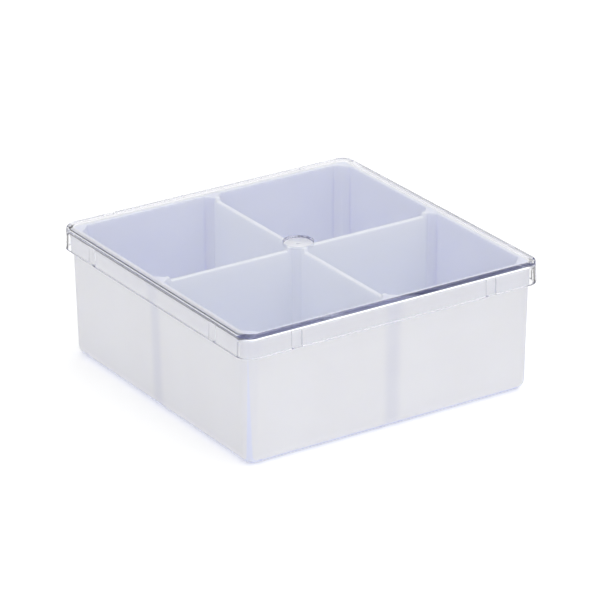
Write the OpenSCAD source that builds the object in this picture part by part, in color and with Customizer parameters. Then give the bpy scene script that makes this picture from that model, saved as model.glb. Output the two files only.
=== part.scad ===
// Square parts organizer: a frosted moulded tray with four compartments, and a
// clear lid that lifts straight off. Millimetres, +Z up. The origin is on the
// ground under the middle of the tray, and the tray's sides face X and Y.

/* [Lid] */
// Width over the lower edge of the skirt
lid_w = 108.5; // [95:0.1:130]
// Height of the organizer with the lid on
total_h = 44; // [30:0.1:70]
// Height of the lid from the skirt's lower edge to its top face
lid_h = 7.8; // [5:0.1:12]
// Thickness of the lid's flat panel
panel_t = 1.8; // [1.2:0.1:3]
// Thickness of the skirt at its lower edge
skirt_t = 1.35; // [1:0.05:2]
// Draft of the skirt's outer face, in degrees
skirt_draft = 2; // [0.5:0.1:3]
// Draft of the skirt's inner face, in degrees
skirt_inner_draft = 1; // [0.5:0.1:1.5]
// Radius of the lid's vertical corners at the top
lid_corner_r = 4.6; // [4.3:0.1:6.2]
// Radius of the edge round the lid's top face
lid_edge_r = 1.2; // [0.5:0.1:2]
// Radius inside the lid where the skirt meets the panel: the rim seats on it
lid_inner_r = 1.3; // [0.9:0.1:2]

/* [Grip ribs] */
// Width of each grip rib inside the skirt
rib_w = 3.8; // [2:0.1:8]
// Distance of each grip rib from the middle of its side
rib_place = 35.3; // [15:0.1:38]
// Clearance between a grip rib and the tray's rim
rib_fit = 0.04; // [0.02:0.01:0.1]

/* [Gate recess] */
// Diameter of the round recess in the middle of the lid
gate_d = 9.6; // [6:0.1:14]
// Depth of the recess
gate_depth = 0.7; // [0.3:0.1:1]
// Diameter of the moulding gate's stub in the recess
stub_d = 1.4; // [0.8:0.1:2.5]
// Height of the stub
stub_h = 0.25; // [0.1:0.05:0.3]

/* [Tray] */
// Gap between the tray's rim and the skirt
rim_gap = 0.35; // [0.3:0.01:0.8]
// Draft of the tray's walls, in degrees
tray_draft = 1.2; // [0.5:0.1:2]
// Radius of the tray's vertical corners at the base
tray_corner_r = 3.6; // [3.6:0.1:8]
// Radius of the edge round the tray's underside
tray_edge_r = 3.5; // [1:0.1:3.5]
// Thickness of the tray's walls
wall_t = 2; // [1.2:0.1:2.5]
// Thickness of the tray's floor
floor_t = 1.8; // [1:0.1:3]
// Radius where each compartment's floor meets its sides
floor_r = 1.5; // [0.5:0.1:3]

/* [Dividers] */
// Thickness of a divider at its top edge
divider_t = 1.6; // [1:0.1:3]
// Draft of each divider face, in degrees
divider_draft = 0.6; // [0.2:0.1:1]
// How far the dividers' top edges lie below the rim
divider_drop = 1.2; // [0.5:0.05:4]
// Leg of the flat across each corner of the tray, inside
corner_leg = 4; // [2:0.1:8]
// Leg of the flats where a divider meets a wall
wall_leg = 2.2; // [1:0.1:5]
// Leg of the flats where the dividers cross
centre_leg = 2.1; // [1:0.1:5]
// Length of full-height divider left beside those flats
land = 1.4; // [0.2:0.1:3]

/* [Hidden] */
$fn = 96;
overlap = 1; // how far a cutting shape runs past the face that it opens
seat_fit = 0.02; // clearance where the rim seats in the lid
clear_panel = [0.80, 0.84, 0.90, 0.35];
frosted = [0.90, 0.90, 0.92];

// Derived sizes are kept to hundredths, so that faces that meet match exactly.
function tidy(size) = round(100 * size) / 100;

skirt_z = total_h - lid_h;
panel_z = total_h - panel_t;
lid_half = tidy(lid_w / 2 - lid_h * tan(skirt_draft));
cavity_half = tidy(lid_w / 2 - skirt_t - (panel_z - skirt_z) * tan(skirt_inner_draft));
cavity_corner_r = lid_corner_r - skirt_t;
seat = lid_inner_r - sqrt(pow(lid_inner_r, 2) - pow(lid_inner_r - rim_gap, 2));
rim_z = tidy(panel_z - seat - seat_fit);
rim_half = tidy(cavity_half - rim_gap);
tray_half = tidy(rim_half - rim_z * tan(tray_draft));
rib_half = rim_half + rib_fit;
wall_in_top = rim_half - wall_t;
wall_in_floor = tidy(wall_in_top - (rim_z - floor_t) * tan(tray_draft));
divider_top = divider_t / 2;
divider_floor = tidy(divider_top + (rim_z - floor_t) * tan(divider_draft));
notch_start = divider_top + centre_leg + land;
notch_end = wall_in_top - wall_leg - land;

// Outline of one half of a block, from the axis out to a side that leans from
// `half` at the base out by `lean` at the top, with the base's edge rounded.
module half_outline(half, lean, edge_r, h) {
  polygon([[0, 0], [half - edge_r, 0], [half, edge_r], [half + lean, h], [0, h]]);
  intersection() {
    translate([half - edge_r, edge_r]) circle(edge_r);
    square([half, h]);
  }
}

// A block that is square in plan, with leaning sides, round vertical corners
// and a round edge at its base. Its corners are turned about fixed upright
// axes, so their radius grows as the sides lean out.
module drafted_block(half, lean, corner_r, edge_r, h) {
  corner_axis = half - corner_r;
  for (turn = [0, 90])
    rotate(turn) rotate([90, 0, 0])
      linear_extrude(2 * corner_axis, center = true)
        for (side = [0, 1]) mirror([side, 0]) half_outline(half, lean, edge_r, h);
  for (turn = [0:90:270])
    rotate(turn) translate([corner_axis, corner_axis])
      rotate_extrude(angle = 90) half_outline(corner_r, lean, edge_r, h);
}

// Long prism along Y with drafted sides, from x0 to x1 on the compartment's
// floor and from x2 to x3 at the rim.
module flare_prism(x0, x1, x2, x3) {
  rotate([90, 0, 0]) linear_extrude(4 * lid_w, center = true)
    polygon([[x0, floor_t], [x1, floor_t], [x3, rim_z], [x2, rim_z]]);
}

// The same prism as the compartment's sides, with round edges on the floor.
module side_prism() {
  rotate([90, 0, 0]) linear_extrude(2 * lid_w, center = true) {
    polygon([
      [divider_floor + floor_r, floor_t], [wall_in_floor - floor_r, floor_t],
      [wall_in_floor, floor_t + floor_r], [wall_in_top, rim_z],
      [divider_top, rim_z], [divider_floor, floor_t + floor_r]
    ]);
    for (x = [divider_floor + floor_r, wall_in_floor - floor_r])
      translate([x, floor_t + floor_r]) circle(floor_r);
  }
}

// The room inside the compartment at +X +Y: its four sides, with flats across
// the tray's corner, the dividers' crossing and the two divider ends.
module compartment() {
  root2 = sqrt(2);
  intersection() {
    side_prism();
    mirror([1, -1, 0]) side_prism();
    rotate(45) flare_prism(
      (2 * divider_floor + centre_leg) / root2, (2 * wall_in_floor - corner_leg) / root2,
      (2 * divider_top + centre_leg) / root2, (2 * wall_in_top - corner_leg) / root2);
    rotate(-45) flare_prism(
      -(wall_in_floor - divider_floor - wall_leg) / root2,
      (wall_in_floor - divider_floor - wall_leg) / root2,
      -(wall_in_top - divider_top - wall_leg) / root2,
      (wall_in_top - divider_top - wall_leg) / root2);
  }
}

module tray() {
  color(frosted) difference() {
    drafted_block(tray_half, rim_half - tray_half, tray_corner_r, tray_edge_r, rim_z);
    for (turn = [0:90:270]) rotate(turn) {
      compartment();
      translate([notch_start, -divider_t, rim_z - divider_drop])
        cube([notch_end - notch_start, 2 * divider_t, divider_drop + overlap]);
    }
  }
}

// One grip rib, rooted in the skirt on the +X side.
module grip_rib() {
  translate([rib_half, -rib_w / 2, skirt_z])
    cube([lid_w / 2 - skirt_t / 2 - rib_half, rib_w, panel_z - skirt_z + panel_t / 2]);
}

// The room inside the lid, upside down, which takes the tray's rim.
module lid_cavity() {
  h = panel_z - skirt_z + overlap;
  drafted_block(cavity_half, tidy(h * tan(skirt_inner_draft)), cavity_corner_r, lid_inner_r, h);
}

module lid() {
  color(clear_panel) difference() {
    translate([0, 0, total_h]) mirror([0, 0, 1])
      drafted_block(lid_half, lid_w / 2 - lid_half, lid_corner_r, lid_edge_r, lid_h);
    difference() {
      translate([0, 0, panel_z]) mirror([0, 0, 1]) lid_cavity();
      for (turn = [0:90:270], side = [-1, 1])
        rotate(turn) translate([0, side * rib_place]) grip_rib();
    }
    translate([0, 0, total_h - gate_depth]) difference() {
      cylinder(h = gate_depth + overlap, d = gate_d);
      cylinder(h = stub_h, d = stub_d);
    }
  }
}

tray();
lid();
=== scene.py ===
from math import cos, pi, radians, sin, sqrt, tan

import bmesh
import bpy
from mathutils import Matrix, Vector


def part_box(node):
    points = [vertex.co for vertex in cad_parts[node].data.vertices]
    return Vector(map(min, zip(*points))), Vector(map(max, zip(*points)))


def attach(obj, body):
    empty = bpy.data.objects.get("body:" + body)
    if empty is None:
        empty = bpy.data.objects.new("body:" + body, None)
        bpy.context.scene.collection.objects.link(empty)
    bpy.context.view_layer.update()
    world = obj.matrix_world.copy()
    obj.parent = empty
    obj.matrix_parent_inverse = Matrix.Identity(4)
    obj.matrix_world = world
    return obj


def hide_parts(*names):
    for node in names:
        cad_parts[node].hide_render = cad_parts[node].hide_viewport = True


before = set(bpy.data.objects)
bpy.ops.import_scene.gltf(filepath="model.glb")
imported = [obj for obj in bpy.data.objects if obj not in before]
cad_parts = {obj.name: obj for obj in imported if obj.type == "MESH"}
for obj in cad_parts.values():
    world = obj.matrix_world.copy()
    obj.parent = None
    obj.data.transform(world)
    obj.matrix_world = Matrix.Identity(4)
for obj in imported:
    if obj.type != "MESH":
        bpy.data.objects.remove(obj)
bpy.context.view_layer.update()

MM = 0.001

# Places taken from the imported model.
LID_LOW, LID_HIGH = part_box("lid")
TRAY_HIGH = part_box("tray")[1]
LID_TOP = LID_HIGH.z
SKIRT_Z = LID_LOW.z
SKIRT_HALF = LID_HIGH.x
RIM_Z = TRAY_HIGH.z
RIM_HALF = TRAY_HIGH.x

# The lid.
LID_H = LID_TOP - SKIRT_Z
SKIRT_DRAFT = radians(2)
SKIRT_INNER_DRAFT = radians(1)
SKIRT_T = 1.35 * MM
PANEL_Z = LID_TOP - 1.8 * MM
LID_EDGE_R = 1.2 * MM
LID_CORNER_R = 4.6 * MM
LID_INNER_R = 1.3 * MM
SKIRT_LIP_R = 0.35 * MM
LID_TOP_HALF = SKIRT_HALF - LID_H * tan(SKIRT_DRAFT)
CAVITY_LOW_HALF = SKIRT_HALF - SKIRT_T
CAVITY_TOP_HALF = CAVITY_LOW_HALF - (PANEL_Z - SKIRT_Z) * tan(SKIRT_INNER_DRAFT)
LID_AXIS = LID_TOP_HALF - LID_CORNER_R
CAVITY_AXIS = CAVITY_TOP_HALF - (LID_CORNER_R - SKIRT_T)
RIB_FIT = 0.04 * MM
RIB_HALF = RIM_HALF + RIB_FIT
RIB_W = 3.6 * MM
RIB_PLACE = 35.3 * MM
RIB_SLOPE = 0.2 * MM

# The round recess in the middle of the lid, with the moulding gate's stub.
GATE_R = 4.8 * MM
GATE_Z = LID_TOP - 0.7 * MM
GATE_EDGE_R = 0.15 * MM
GATE_FILLET_R = 0.25 * MM
STUB_R = 0.7 * MM
STUB_H = 0.25 * MM
STUB_TOP_R = STUB_R * 0.55
STUB_EDGE_R = 0.1 * MM
RECESS_ROWS = (2.2 * MM, 3.4 * MM)

# The tray.
TRAY_HALF = RIM_HALF - 0.87 * MM
TRAY_CORNER_R = 3.6 * MM
TRAY_EDGE_R = 3.5 * MM
TRAY_AXIS = TRAY_HALF - TRAY_CORNER_R
FLOOR_Z = 1.8 * MM
FLOOR_R = 1.5 * MM
WALL_T = 2 * MM
TRAY_DRAFT = radians(1.2)
DIVIDER_DRAFT = radians(0.6)
DIVIDER_HALF = 0.8 * MM
DIVIDER_DROP = 1.2 * MM
CORNER_LEG = 4 * MM
WALL_LEG = 2.2 * MM
CENTRE_LEG = 2.1 * MM
LAND = 1.4 * MM
RIM_EDGE_R = 0.35 * MM
POCKET_CORNER_R = 0.6 * MM
LEAST_CORNER_R = 0.05 * MM
LEAST_STATION_GAP = 0.1 * MM
# Heights and places of the rows and stations on the tray's flat outer faces.
SIDE_LEVELS = (31 * MM, 22 * MM, 13 * MM)
SIDE_STATIONS = [0, 12 * MM, 24 * MM, 36 * MM]

# Where the tray's colours and its painted shade change. Its flat outer faces lie beyond
# OUTER_FACE, though its rounded corners, the round edge of its base and its underside don't. Its
# walls' inner faces lie beyond
# INNER_FACE, and the corner bands of painted shade start at x + y of CORNER_BAND. The divider
# bands on the outside are painted shade too.
INNER_FACE = RIM_HALF - 5.5 * MM
INNER_BLEND = 2 * MM
OUTER_FACE = RIM_HALF - 1.5 * MM
OUTER_BLEND = 0.3 * MM
CORNER_BAND = 2 * TRAY_HALF - CORNER_LEG
CORNER_BAND_W = 3 * MM
CORNER_SHADE_LEVEL = 0.55
DIVIDER_BAND_HALF = 4.2 * MM
DIVIDER_BAND_CORE = 0.6 * MM
# Painted shade in the creases of the walls' inner faces: its width, its offset, and the heights
# where it starts and where it is full.
CREASE_W = 1.1 * MM
CREASE_OFFSET = 1 * MM
CREASE_START = RIM_Z - 1 * MM
CREASE_FULL = RIM_Z - 8 * MM
CLOUD_SIZE = 16 * MM
GRAIN_SIZE = 0.3 * MM


def arc(centre, radius, start, end, steps):
    """Points of a round stretch, both ends included, as (across, up) pairs. Angles in degrees."""
    turns = [radians(start + (end - start) * i / steps) for i in range(steps + 1)]
    return [(centre[0] + radius * cos(a), centre[1] + radius * sin(a)) for a in turns]


def strip(bm, first, second):
    """Quads between two rows of as many vertices."""
    for a, b, c, d in zip(first, first[1:], second[1:], second):
        bm.faces.new((a, b, c, d))


def whole_from_eighth(bm):
    """Copies an eighth, from the middle of the +X side to the diagonal, round the whole piece."""
    def copies(matrix):
        made = bmesh.ops.duplicate(bm, geom=bm.verts[:] + bm.edges[:] + bm.faces[:])["geom"]
        verts = [g for g in made if isinstance(g, bmesh.types.BMVert)]
        faces = [g for g in made if isinstance(g, bmesh.types.BMFace)]
        bmesh.ops.transform(bm, matrix=matrix, verts=verts)
        if matrix.determinant() < 0:
            bmesh.ops.reverse_faces(bm, faces=faces)
        bmesh.ops.remove_doubles(bm, verts=bm.verts[:], dist=0.002 * MM)
    copies(Matrix(((0, 1, 0, 0), (1, 0, 0, 0), (0, 0, 1, 0), (0, 0, 0, 1))))
    copies(Matrix.Rotation(pi / 2, 4, "Z"))
    copies(Matrix.Rotation(pi, 4, "Z"))


def finished(bm, name, material):
    """Turns the mesh data into a smooth shaded object whose flat faces stay flat."""
    bmesh.ops.recalc_face_normals(bm, faces=bm.faces[:])
    mesh = bpy.data.meshes.new(name)
    bm.to_mesh(mesh)
    bm.free()
    mesh.shade_smooth()
    piece = bpy.data.objects.new(name, mesh)
    bpy.context.scene.collection.objects.link(piece)
    mesh.materials.append(material)
    weighted = piece.modifiers.new("flats_stay_flat", "WEIGHTED_NORMAL")
    weighted.mode = "FACE_AREA"
    weighted.weight = 50
    return piece


# ---------------------------------------------------------------- lid
CORNER_STEPS = 14


def rib_presence(y):
    """1 on a grip rib, 0 beside it, with an S-shaped slope between."""
    t = (RIB_W / 2 + RIB_SLOPE / 2 - abs(y - RIB_PLACE)) / RIB_SLOPE
    t = min(1, max(0, t))
    return t * t * (3 - 2 * t)


def lid_stations():
    """Places along half a side, more of them across a grip rib's slopes."""
    slope_steps = 6
    places = [0, RIB_PLACE / 3, 2 * RIB_PLACE / 3]
    for side in (-1, 1):
        middle = RIB_PLACE + side * RIB_W / 2
        places += [middle + RIB_SLOPE * (i / slope_steps - 0.5) for i in range(slope_steps + 1)]
    return places


def side_ring(bm, half, z, axis, stations, steps, ribbed=False):
    """Row of vertices along half a side, then round half its corner to the diagonal."""
    row = []
    for y in stations + [axis]:
        x = half
        if ribbed:
            x = half - rib_presence(y) * max(0, half - RIB_HALF)
        row.append(bm.verts.new((x, y, z)))
    for i in range(1, steps + 1):
        a = radians(45) * i / steps
        reach = half - axis
        row.append(bm.verts.new((axis + reach * cos(a), axis + reach * sin(a), z)))
    return row


def circle_row(bm, radius, z, count):
    """An eighth of a circle."""
    turns = [radians(45) * i / (count - 1) for i in range(count)]
    return [bm.verts.new((radius * cos(a), radius * sin(a), z)) for a in turns]


def make_lid(material):
    bm = bmesh.new()
    stations = lid_stations()
    count = len(stations) + 1 + CORNER_STEPS

    # From the middle of the gate's stub out to the edge of the top face.
    r = STUB_EDGE_R
    profile = [(STUB_TOP_R, GATE_Z + STUB_H)]
    profile += arc((STUB_R - r, GATE_Z + STUB_H - r), r, 90, 0, 3)
    profile += arc((STUB_R + r, GATE_Z + r), r, 180, 270, 3)
    profile += [(radius, GATE_Z) for radius in RECESS_ROWS]
    profile += arc((GATE_R - GATE_FILLET_R, GATE_Z + GATE_FILLET_R), GATE_FILLET_R, -90, 0, 5)
    profile += arc((GATE_R + GATE_EDGE_R, LID_TOP - GATE_EDGE_R), GATE_EDGE_R, 180, 90, 4)
    rows = [circle_row(bm, radius, z, count) for radius, z in profile]
    middle = bm.verts.new((0, 0, GATE_Z + STUB_H))
    for a, b in zip(rows[0], rows[0][1:]):
        bm.faces.new((middle, a, b))

    # Down the outside of the skirt and round its lower edge.
    edge = arc((LID_TOP_HALF - LID_EDGE_R, LID_TOP - LID_EDGE_R), LID_EDGE_R, 90, 0, 12)
    lip = arc((SKIRT_HALF - SKIRT_LIP_R, SKIRT_Z + SKIRT_LIP_R), SKIRT_LIP_R, 0, -90, 4)
    rows += [side_ring(bm, x, z, LID_AXIS, stations, CORNER_STEPS) for x, z in edge + lip]

    # Up the inside of the skirt, with its grip ribs, to the underside of the panel.
    lip = arc((CAVITY_LOW_HALF + SKIRT_LIP_R, SKIRT_Z + SKIRT_LIP_R), SKIRT_LIP_R, 270, 180, 4)
    fillet = arc((CAVITY_TOP_HALF - LID_INNER_R, PANEL_Z - LID_INNER_R), LID_INNER_R, 0, 90, 10)
    inside = lip + fillet
    rows += [side_ring(bm, x, z, CAVITY_AXIS, stations, CORNER_STEPS, True) for x, z in inside]
    for first, second in zip(rows, rows[1:]):
        strip(bm, first, second)
    bm.faces.new([bm.verts.new((0, 0, PANEL_Z))] + rows[-1])
    whole_from_eighth(bm)
    return finished(bm, "clear_lid", material)


# ---------------------------------------------------------------- tray
TRAY_CORNER_STEPS = 12


def rounded(vertices, radii, steps):
    """An open outline through these points, each turned by an arc of its radius, or sharp at 0."""
    points = [vertices[0]]
    for before, at, after, radius in zip(vertices, vertices[1:], vertices[2:], radii):
        if radius == 0:
            points.append(at)
            continue
        to_before = (Vector(before) - Vector(at)).normalized()
        to_after = (Vector(after) - Vector(at)).normalized()
        half_angle = to_before.angle(to_after) / 2
        centre = Vector(at) + (to_before + to_after).normalized() * radius / sin(half_angle)
        first = (Vector(at) + to_before * radius / tan(half_angle) - centre).normalized()
        last = (Vector(at) + to_after * radius / tan(half_angle) - centre).normalized()
        for i in range(steps + 1):
            points.append(tuple(centre + radius * first.slerp(last, i / steps)))
    points.append(vertices[-1])
    return points


def pocket_half_widths(z):
    """Where a compartment's divider side and wall side are at this height."""
    divider = DIVIDER_HALF + (RIM_Z - z) * tan(DIVIDER_DRAFT)
    wall = RIM_HALF - WALL_T - (RIM_Z - z) * tan(TRAY_DRAFT)
    return divider, wall


NOTCH_START = DIVIDER_HALF + CENTRE_LEG + LAND
NOTCH_END = RIM_HALF - WALL_T - WALL_LEG - LAND
NOTCH_SLOPE = 0.5 * MM
NOTCH_STEPS = 6


def notch_stations():
    """Places along a divider: across each slope of its lowered top edge, and between them."""
    across = [NOTCH_SLOPE * (i / NOTCH_STEPS - 0.5) for i in range(NOTCH_STEPS + 1)]
    first, last = ([end + step for step in across] for end in (NOTCH_START, NOTCH_END))
    return first + [(NOTCH_START + NOTCH_END) / 2] + last


def divider_drop(x):
    """How far the divider's top edge lies below the rim."""
    up = (x - NOTCH_START) / NOTCH_SLOPE + 0.5
    down = (NOTCH_END - x) / NOTCH_SLOPE + 0.5
    t = min(1, max(0, min(up, down)))
    return DIVIDER_DROP * t * t * (3 - 2 * t)


def pocket_points(z, grow):
    """Half the outline of the +X +Y compartment: from the middle of the flat at the dividers'
    crossing, along the divider and the outer wall, to the middle of the flat in the tray's corner.
    It is moved outwards by `grow`."""
    divider, wall = pocket_half_widths(z)
    divider -= grow
    wall += grow
    slant = (2 - sqrt(2)) * grow
    centre, side, corner = (leg + slant for leg in (CENTRE_LEG, WALL_LEG, CORNER_LEG))
    stations = notch_stations()
    # Low down, the far stations make way for the flat at the divider's end.
    make_way = min(0, wall - side - LEAST_STATION_GAP - stations[-1])
    middle = (NOTCH_START + NOTCH_END) / 2
    vertices = [(divider + centre / 2, divider + centre / 2), (divider + centre, divider)]
    vertices += [(x + make_way if x > middle else x, divider) for x in stations]
    vertices += [(wall - side, divider), (wall, divider + side)]
    vertices += [(wall, wall - corner), (wall - corner / 2, wall - corner / 2)]
    radius = max(LEAST_CORNER_R, POCKET_CORNER_R + grow)
    radii = [radius] + [0] * len(stations) + [radius] * 3
    return rounded(vertices, radii, 4)


def pocket_row(bm, z, grow, below_top=None):
    """The outline as vertices, at one height, or at a distance below the top edge."""
    row = []
    for x, y in pocket_points(z, grow):
        height = z
        if below_top is not None:
            on_divider = y < DIVIDER_HALF + WALL_LEG / 2 and x < NOTCH_END + LAND
            height = RIM_Z - below_top - (divider_drop(x) if on_divider else 0)
        row.append(bm.verts.new((x, y, height)))
    return row


def tray_row(bm, half, z):
    """Row of the outside, from the middle of the +X side to the diagonal."""
    return side_ring(bm, half, z, TRAY_AXIS, SIDE_STATIONS, TRAY_CORNER_STEPS)


def make_tray(material):
    bm = bmesh.new()
    # Inside a compartment: the round top edge, the drafted sides and the floor's fillet.
    round_steps = 4
    inside = []
    for i in range(round_steps + 1):
        a = radians(90) * i / round_steps
        grow, below = RIM_EDGE_R * (1 - sin(a)), RIM_EDGE_R * (1 - cos(a))
        inside.append(pocket_row(bm, RIM_Z - below, grow, below))
    low_top = RIM_Z - DIVIDER_DROP - 2 * RIM_EDGE_R
    levels = [low_top + (FLOOR_Z + FLOOR_R - low_top) * i / 4 for i in range(5)]
    inside += [pocket_row(bm, z, 0) for z in levels]
    for i in range(1, 6):
        a = radians(90) * i / 5
        inside.append(pocket_row(bm, FLOOR_Z + FLOOR_R * (1 - sin(a)), -FLOOR_R * (1 - cos(a))))
    for first, second in zip(inside, inside[1:]):
        strip(bm, first, second)
    bm.faces.new(inside[-1])

    # Outside: the rim's round edge, the drafted sides and the round edge of the base.
    rim_edge = arc((RIM_HALF - RIM_EDGE_R, RIM_Z - RIM_EDGE_R), RIM_EDGE_R, 90, 0, 4)
    base_edge = arc((TRAY_HALF - TRAY_EDGE_R, TRAY_EDGE_R), TRAY_EDGE_R, 0, -90, 14)
    lean = (RIM_HALF - TRAY_HALF) / (RIM_Z - TRAY_EDGE_R)
    sides = [(TRAY_HALF + lean * (z - TRAY_EDGE_R), z) for z in SIDE_LEVELS]
    outside = [tray_row(bm, x, z) for x, z in rim_edge + sides + base_edge]
    for first, second in zip(outside, outside[1:]):
        strip(bm, first, second)
    bm.faces.new([bm.verts.new((0, 0, 0))] + outside[-1])

    # The top: the crossing, the divider's lowered edge, and the rim round the compartment.
    top = inside[0]
    stations = notch_stations()
    start = next(i for i, v in enumerate(top) if abs(v.co.x - stations[0]) < 0.001 * MM)
    end = start + len(stations)
    seam = [bm.verts.new((x, 0, RIM_Z - divider_drop(x))) for x in stations]
    strip(bm, seam, top[start:end])
    bm.faces.new([bm.verts.new((0, 0, RIM_Z))] + [seam[0]] + top[start::-1])
    bm.faces.new([seam[-1]] + outside[0] + top[:end - 2:-1])
    whole_from_eighth(bm)
    return finished(bm, "frosted_tray", material)


# ---------------------------------------------------------------- materials
# The floor's own light, and what the camera sees besides.
FLOOR_GLOW = 0.17
FLOOR_EXTRA_GLOW = 0.1
# The cards show to light that has passed into clear plastic and out again, within this reach.
CARD_LEAST_DEPTH = 1.5
CARD_REACH = 90 * MM


def new_material(name):
    """A material with an empty node tree, its Principled shader and its output."""
    material = bpy.data.materials.new(name)
    material.use_nodes = True
    nodes = material.node_tree.nodes
    return material, nodes, material.node_tree.links, nodes["Principled BSDF"]


class Graph:
    """Short calls for the nodes that the materials share."""

    def __init__(self, nodes, links):
        self.nodes, self.links = nodes, links

    def put(self, value, socket):
        """Links a socket, or sets a number or a colour."""
        if isinstance(value, bpy.types.NodeSocket):
            self.links.new(value, socket)
        else:
            socket.default_value = value

    def math(self, operation, *values):
        node = self.nodes.new("ShaderNodeMath")
        node.operation = operation
        for value, socket in zip(values, node.inputs):
            self.put(value, socket)
        return node.outputs[0]

    def place(self):
        """The point's own x, y and z, in metres."""
        coordinates = self.nodes.new("ShaderNodeTexCoord").outputs["Object"]
        split = self.nodes.new("ShaderNodeSeparateXYZ")
        self.links.new(coordinates, split.inputs[0])
        return coordinates, split.outputs[0], split.outputs[1], split.outputs[2]

    def step(self, value, low, high):
        """0 below one value and 1 above the other, smooth between; or 1 and 0 if high < low."""
        node = self.nodes.new("ShaderNodeMapRange")
        node.interpolation_type = "SMOOTHSTEP"
        for part, socket in zip((value, low, high, 0, 1), node.inputs):
            self.put(part, socket)
        return node.outputs[0]

    def noise(self, coordinates, grain, detail=2, stretch=(1, 1, 1)):
        """Noise whose features are about this wide."""
        mapping = self.nodes.new("ShaderNodeMapping")
        mapping.inputs["Scale"].default_value = stretch
        self.links.new(coordinates, mapping.inputs["Vector"])
        node = self.nodes.new("ShaderNodeTexNoise")
        self.links.new(mapping.outputs[0], node.inputs["Vector"])
        node.inputs["Scale"].default_value = 1 / grain
        node.inputs["Detail"].default_value = detail
        return node.outputs["Fac"]

    def mix(self, factor, low, high):
        """A blend of two colours."""
        node = self.nodes.new("ShaderNodeMixRGB")
        for value, socket in zip((factor, low, high), node.inputs):
            self.put(value, socket)
        return node.outputs[0]

    def bump(self, height, strength, depth):
        node = self.nodes.new("ShaderNodeBump")
        node.inputs["Strength"].default_value = strength
        node.inputs["Distance"].default_value = depth
        self.links.new(height, node.inputs["Height"])
        return node.outputs[0]


def tray_plastic():
    """Frosted white plastic. Its colour holds painted light: a painted bluish shade inside, where
    the light has come through more of it, and on its outside a painted shade, a little darker,
    where a divider or a corner flat backs the wall."""
    material, nodes, links, shader = new_material("tray_plastic")
    graph = Graph(nodes, links)
    coordinates, x, y, z = graph.place()
    across, along = graph.math("ABSOLUTE", x), graph.math("ABSOLUTE", y)
    far_out, near_in = graph.math("MAXIMUM", across, along), graph.math("MINIMUM", across, along)

    # The outside, with its bands of painted shade.
    outside = graph.step(far_out, OUTER_FACE, OUTER_FACE + OUTER_BLEND)
    divider = graph.step(near_in, DIVIDER_BAND_HALF, DIVIDER_BAND_CORE)
    corner = graph.step(graph.math("ADD", across, along), CORNER_BAND, CORNER_BAND + CORNER_BAND_W)
    corner = graph.math("MULTIPLY", corner, CORNER_SHADE_LEVEL)
    # Painted shade: the outside a little darker where a divider or a corner flat backs the wall.
    backed_shade = graph.math("MULTIPLY", outside, graph.math("MAXIMUM", divider, corner))
    tint = graph.mix(backed_shade, (0.765, 0.765, 0.79, 1), (0.70, 0.705, 0.765, 1))

    # The inside, with painted shade: bluer and darker on the walls, and most in their creases.
    # Painted shade: the walls' inner faces darker and bluer than the dividers.
    wall = graph.step(far_out, INNER_FACE, INNER_FACE + INNER_BLEND)
    inside_shade = graph.mix(wall, (0.80, 0.83, 0.92, 1), (0.69, 0.715, 0.85, 1))
    from_corner = graph.math("SUBTRACT", graph.math("SUBTRACT", far_out, near_in), CORNER_LEG)
    from_divider = graph.math("SUBTRACT", near_in, WALL_LEG + CREASE_OFFSET)
    from_corner, from_divider = (graph.math("ABSOLUTE", d) for d in (from_corner, from_divider))
    # Painted shade in the creases, starting just under the rim and full lower down.
    crease_shade = graph.step(graph.math("MINIMUM", from_corner, from_divider), CREASE_W, 0)
    crease_shade = graph.math("MULTIPLY", crease_shade, wall)
    crease_shade = graph.math("MULTIPLY", crease_shade, graph.step(z, CREASE_START, CREASE_FULL))
    inside_shade = graph.mix(crease_shade, inside_shade, (0.62, 0.64, 0.82, 1))
    tint = graph.mix(outside, inside_shade, tint)
    cloud = graph.step(graph.noise(coordinates, CLOUD_SIZE, 3), 0.3, 0.7)
    tint = graph.mix(graph.math("MULTIPLY", cloud, 0.15), tint, (0.84, 0.855, 0.88, 1))
    links.new(tint, shader.inputs["Base Color"])
    grain = graph.noise(coordinates, GRAIN_SIZE, 3)
    rough = graph.math("MULTIPLY_ADD", grain, 0.12, 0.3)
    links.new(graph.math("MULTIPLY_ADD", cloud, 0.05, rough), shader.inputs["Roughness"])
    links.new(graph.bump(grain, 0.12, 0.03 * MM), shader.inputs["Normal"])
    shader.inputs["IOR"].default_value = 1.5
    shader.inputs["Subsurface Weight"].default_value = 1
    shader.inputs["Subsurface Radius"].default_value = (1.0, 1.0, 1.1)
    shader.inputs["Subsurface Scale"].default_value = 2.2 * MM
    return material


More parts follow.
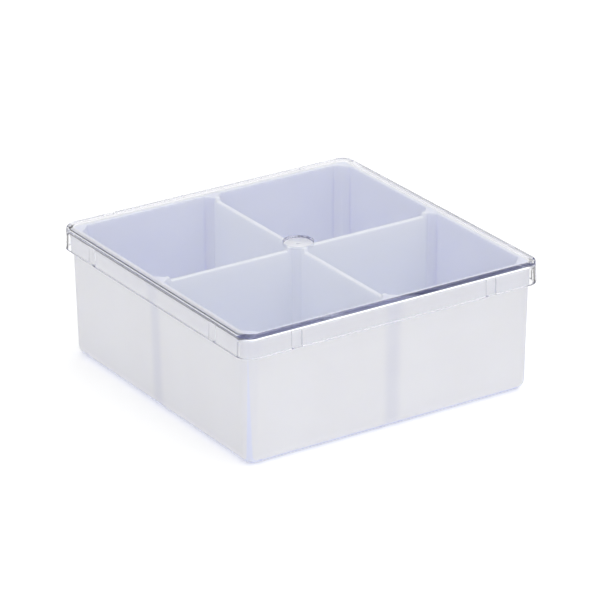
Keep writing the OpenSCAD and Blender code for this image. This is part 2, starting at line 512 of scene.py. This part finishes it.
def lid_plastic():
    """Clear polished plastic, frosted on the floor of the gate recess, with hairline scuffs on top
    and the faint waves that the moulding leaves."""
    material, nodes, links, shader = new_material("lid_plastic")
    graph = Graph(nodes, links)
    coordinates, x, y, z = graph.place()
    square_x, square_y = graph.math("MULTIPLY", x, x), graph.math("MULTIPLY", y, y)
    radius = graph.math("SQRT", graph.math("ADD", square_x, square_y))
    in_recess = graph.step(radius, GATE_R - 0.1 * MM, GATE_R - 0.4 * MM)
    below_top = graph.step(z, LID_TOP - 0.2 * MM, LID_TOP - 0.35 * MM)
    above_panel = graph.step(z, PANEL_Z + 0.2 * MM, PANEL_Z + 0.4 * MM)
    frosted = graph.math("MULTIPLY", in_recess, graph.math("MULTIPLY", below_top, above_panel))
    hairs = graph.noise(coordinates, 1.2 * MM, 1, (0.03, 1, 1))
    hairs = graph.step(hairs, 0.76, 0.8)
    top = graph.step(z, LID_TOP - 0.05 * MM, LID_TOP - 0.01 * MM)
    scuffs = graph.math("MULTIPLY", graph.math("MULTIPLY", hairs, top), 0.1)
    links.new(graph.math("MULTIPLY_ADD", frosted, 0.3, scuffs), shader.inputs["Roughness"])
    haze = graph.noise(coordinates, 22 * MM, 2)
    links.new(graph.mix(haze, (0.98, 0.985, 1, 1), (1, 1, 1, 1)), shader.inputs["Base Color"])
    links.new(graph.bump(haze, 0.1, 0.02 * MM), shader.inputs["Normal"])
    shader.inputs["IOR"].default_value = 1.59
    links.new(graph.math("MULTIPLY_ADD", frosted, -0.45, 1), shader.inputs["Transmission Weight"])
    clear = nodes.new("ShaderNodeBsdfTransparent")
    clear.inputs["Color"].default_value = (0.968, 0.968, 0.974, 1)
    path = nodes.new("ShaderNodeLightPath")
    diffused = graph.math("MAXIMUM", path.outputs["Is Shadow Ray"], path.outputs["Is Diffuse Ray"])
    mix = nodes.new("ShaderNodeMixShader")
    output = nodes["Material Output"]
    links.new(diffused, mix.inputs["Fac"])
    links.new(shader.outputs[0], mix.inputs[1])
    links.new(clear.outputs[0], mix.inputs[2])
    links.new(mix.outputs[0], output.inputs["Surface"])
    tint = nodes.new("ShaderNodeVolumeAbsorption")
    tint.inputs["Color"].default_value = (0.43, 0.45, 0.66, 1)
    tint.inputs["Density"].default_value = 15.5
    links.new(tint.outputs[0], output.inputs["Volume"])
    return material


def floor_white():
    """White paper that glows a little, and more where the camera sees it, as on a lit table."""
    material, nodes, links, shader = new_material("floor_white")
    graph = Graph(nodes, links)
    shader.inputs["Base Color"].default_value = (0.9, 0.9, 0.9, 1)
    shader.inputs["Roughness"].default_value = 0.9
    shader.inputs["Specular IOR Level"].default_value = 0.1
    shader.inputs["Emission Color"].default_value = (1, 1, 1, 1)
    seen = nodes.new("ShaderNodeLightPath").outputs["Is Camera Ray"]
    glow = graph.math("MULTIPLY_ADD", seen, FLOOR_EXTRA_GLOW, FLOOR_GLOW)
    links.new(glow, shader.inputs["Emission Strength"])
    return material


def card_black():
    """Black in light straight from clear plastic close by, and not there in any other."""
    material, nodes, links, shader = new_material("card_black")
    graph = Graph(nodes, links)
    shader.inputs["Base Color"].default_value = (0.06, 0.05, 0.04, 1)
    shader.inputs["Roughness"].default_value = 0.8
    path = nodes.new("ShaderNodeLightPath")
    refracted = graph.math("GREATER_THAN", path.outputs["Transmission Depth"], CARD_LEAST_DEPTH)
    close = graph.math("LESS_THAN", path.outputs["Ray Length"], CARD_REACH)
    clear = nodes.new("ShaderNodeBsdfTransparent")
    mix = nodes.new("ShaderNodeMixShader")
    links.new(graph.math("MULTIPLY", refracted, close), mix.inputs["Fac"])
    links.new(clear.outputs[0], mix.inputs[1])
    links.new(shader.outputs[0], mix.inputs[2])
    links.new(mix.outputs[0], nodes["Material Output"].inputs["Surface"])
    return material


# ---------------------------------------------------------------- stage
VIEW_AZIMUTH = radians(32.95)
VIEW_ELEVATION = radians(23.13)
BEHIND = Vector((sin(VIEW_AZIMUTH), cos(VIEW_AZIMUTH), 0))
RIGHT = Vector((cos(VIEW_AZIMUTH), -sin(VIEW_AZIMUTH), 0))
# Light by heading, as (place, level) pairs: 0 and 1 are behind the camera, 0.25 is at its left,
# 0.5 behind the organizer and 0.75 at its right. The dark stretches beside 0.5 draw the clear
# lid's edges.
LOW_LIGHT = [(0.0, 0.93), (0.17, 0.88), (0.25, 0.53), (0.31, 0.12), (0.455, 0.1), (0.47, 1.05),
             (0.53, 1.05), (0.545, 0.1), (0.68, 0.2), (0.75, 0.45), (0.85, 0.87), (1.0, 0.92)]
MIDDLE_LIGHT = [(0.0, 1.0), (0.17, 0.92), (0.25, 0.6), (0.33, 0.1), (0.45, 0.05), (0.5, 0.7),
                (0.58, 1.0), (0.75, 0.85), (1.0, 0.98)]
HIGH_LIGHT = [(0.0, 1.3), (0.25, 1.0), (0.375, 0.8), (0.5, 1.3), (0.6, 2.5), (0.7, 2.2),
              (0.75, 1.9), (0.875, 1.4), (1.0, 1.3)]
OVERHEAD_LIGHT = 1.4
# The black cards: their distance to each side, where each starts and ends behind the middle, and
# their heights.
CARD_PLACE = 105 * MM
CARDS = [("left_card", -1, 38 * MM, 150 * MM), ("right_card", 1, 9 * MM, 125 * MM)]
CARD_LOW = 0.5 * MM
CARD_HIGH = 44 * MM

CAMERA_AIM = Vector((0.34, -0.22, 24.13)) * MM
CAMERA_DISTANCE = 1222.3 * MM
CAMERA_ROLL = radians(-0.34)
CAMERA_LENS = 234.84


def make_floor():
    bm = bmesh.new()
    bmesh.ops.create_grid(bm, x_segments=1, y_segments=1, size=6)
    mesh = bpy.data.meshes.new("floor")
    bm.to_mesh(mesh)
    bm.free()
    floor = bpy.data.objects.new("floor", mesh)
    mesh.materials.append(floor_white())
    bpy.context.scene.collection.objects.link(floor)


def make_cards():
    """Two black cards, out of the picture at its left and right. Only the clear lid shows them."""
    black = card_black()
    for name, side, near, far in CARDS:
        bm = bmesh.new()
        start, end = (RIGHT * side * CARD_PLACE + BEHIND * d for d in (near, far))
        corners = [(start, CARD_LOW), (end, CARD_LOW), (end, CARD_HIGH), (start, CARD_HIGH)]
        bm.faces.new([bm.verts.new((p.x, p.y, z)) for p, z in corners])
        mesh = bpy.data.meshes.new(name)
        bm.to_mesh(mesh)
        bm.free()
        mesh.materials.append(black)
        card = bpy.data.objects.new(name, mesh)
        card.visible_camera = False
        card.visible_diffuse = False
        card.visible_shadow = False
        bpy.context.scene.collection.objects.link(card)


def ramp(nodes, stops):
    """A colour ramp of greys, as (place, level) pairs."""
    node = nodes.new("ShaderNodeValToRGB")
    elements = node.color_ramp.elements
    elements.remove(elements[0])
    for i, (at, level) in enumerate(stops):
        element = elements[0] if i == 0 else elements.new(at)
        element.position = at
        element.color = (level, level, level, 1)
    return node


def make_world():
    """A white studio: a lit wall behind the organizer, a soft light overhead, and darker sides."""
    world = bpy.data.worlds.new("studio")
    bpy.context.scene.world = world
    world.use_nodes = True
    nodes, links = world.node_tree.nodes, world.node_tree.links
    graph = Graph(nodes, links)
    background = nodes["Background"]
    place = nodes.new("ShaderNodeTexCoord")
    split = nodes.new("ShaderNodeSeparateXYZ")
    links.new(place.outputs["Generated"], split.inputs[0])

    def towards(direction):
        """How far each ray of light goes in this direction."""
        node = nodes.new("ShaderNodeVectorMath")
        node.operation = "DOT_PRODUCT"
        node.inputs[1].default_value = direction
        links.new(place.outputs["Generated"], node.inputs[0])
        return node.outputs["Value"]

    def light(stops):
        """The light of one band, by heading."""
        node = ramp(nodes, stops)
        links.new(heading, node.inputs[0])
        return node.outputs[0]

    def step(low, high):
        """0 below one height and 1 above the other."""
        node = ramp(nodes, [(low, 0), (high, 1)])
        links.new(split.outputs["Z"], node.inputs[0])
        return node.outputs[0]

    def blend(factor, low, high):
        node = nodes.new("ShaderNodeMix")
        for value, name in zip((factor, low, high), ("Factor", "A", "B")):
            graph.put(value, node.inputs[name])
        return node.outputs[0]

    turn = graph.math("ARCTAN2", towards(RIGHT), towards(BEHIND))
    heading = graph.math("MULTIPLY_ADD", turn, 0.5 / pi, 0.5)
    sky = blend(step(0.42, 0.58), light(LOW_LIGHT), light(MIDDLE_LIGHT))
    sky = blend(step(0.7, 0.83), sky, light(HIGH_LIGHT))
    sky = blend(step(0.92, 0.96), sky, OVERHEAD_LIGHT)
    links.new(sky, background.inputs["Color"])
    background.inputs["Strength"].default_value = 1.0


def make_camera():
    forward = BEHIND * cos(VIEW_ELEVATION) - Vector((0, 0, sin(VIEW_ELEVATION)))
    data = bpy.data.cameras.new("camera")
    data.lens = CAMERA_LENS
    data.sensor_width = 36
    data.clip_start = 0.01
    data.clip_end = 100
    camera = bpy.data.objects.new("camera", data)
    up = RIGHT.cross(forward)
    level, tilt = cos(CAMERA_ROLL), sin(CAMERA_ROLL)
    right, up = RIGHT * level + up * tilt, up * level - RIGHT * tilt
    turn = Matrix((right, up, -forward)).transposed().to_4x4()
    camera.matrix_world = Matrix.Translation(CAMERA_AIM - forward * CAMERA_DISTANCE) @ turn
    bpy.context.scene.collection.objects.link(camera)
    bpy.context.scene.camera = camera


make_camera()
make_floor()
make_cards()
make_world()
scene = bpy.context.scene
scene.view_settings.view_transform = "Standard"
scene.cycles.max_bounces = 128
scene.cycles.transmission_bounces = 128
scene.cycles.glossy_bounces = 128
scene.cycles.diffuse_bounces = 8
scene.cycles.transparent_max_bounces = 24

lid = make_lid(lid_plastic())
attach(lid, "lid")
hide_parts("lid")
tray = make_tray(tray_plastic())
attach(tray, "tray")
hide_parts("tray")
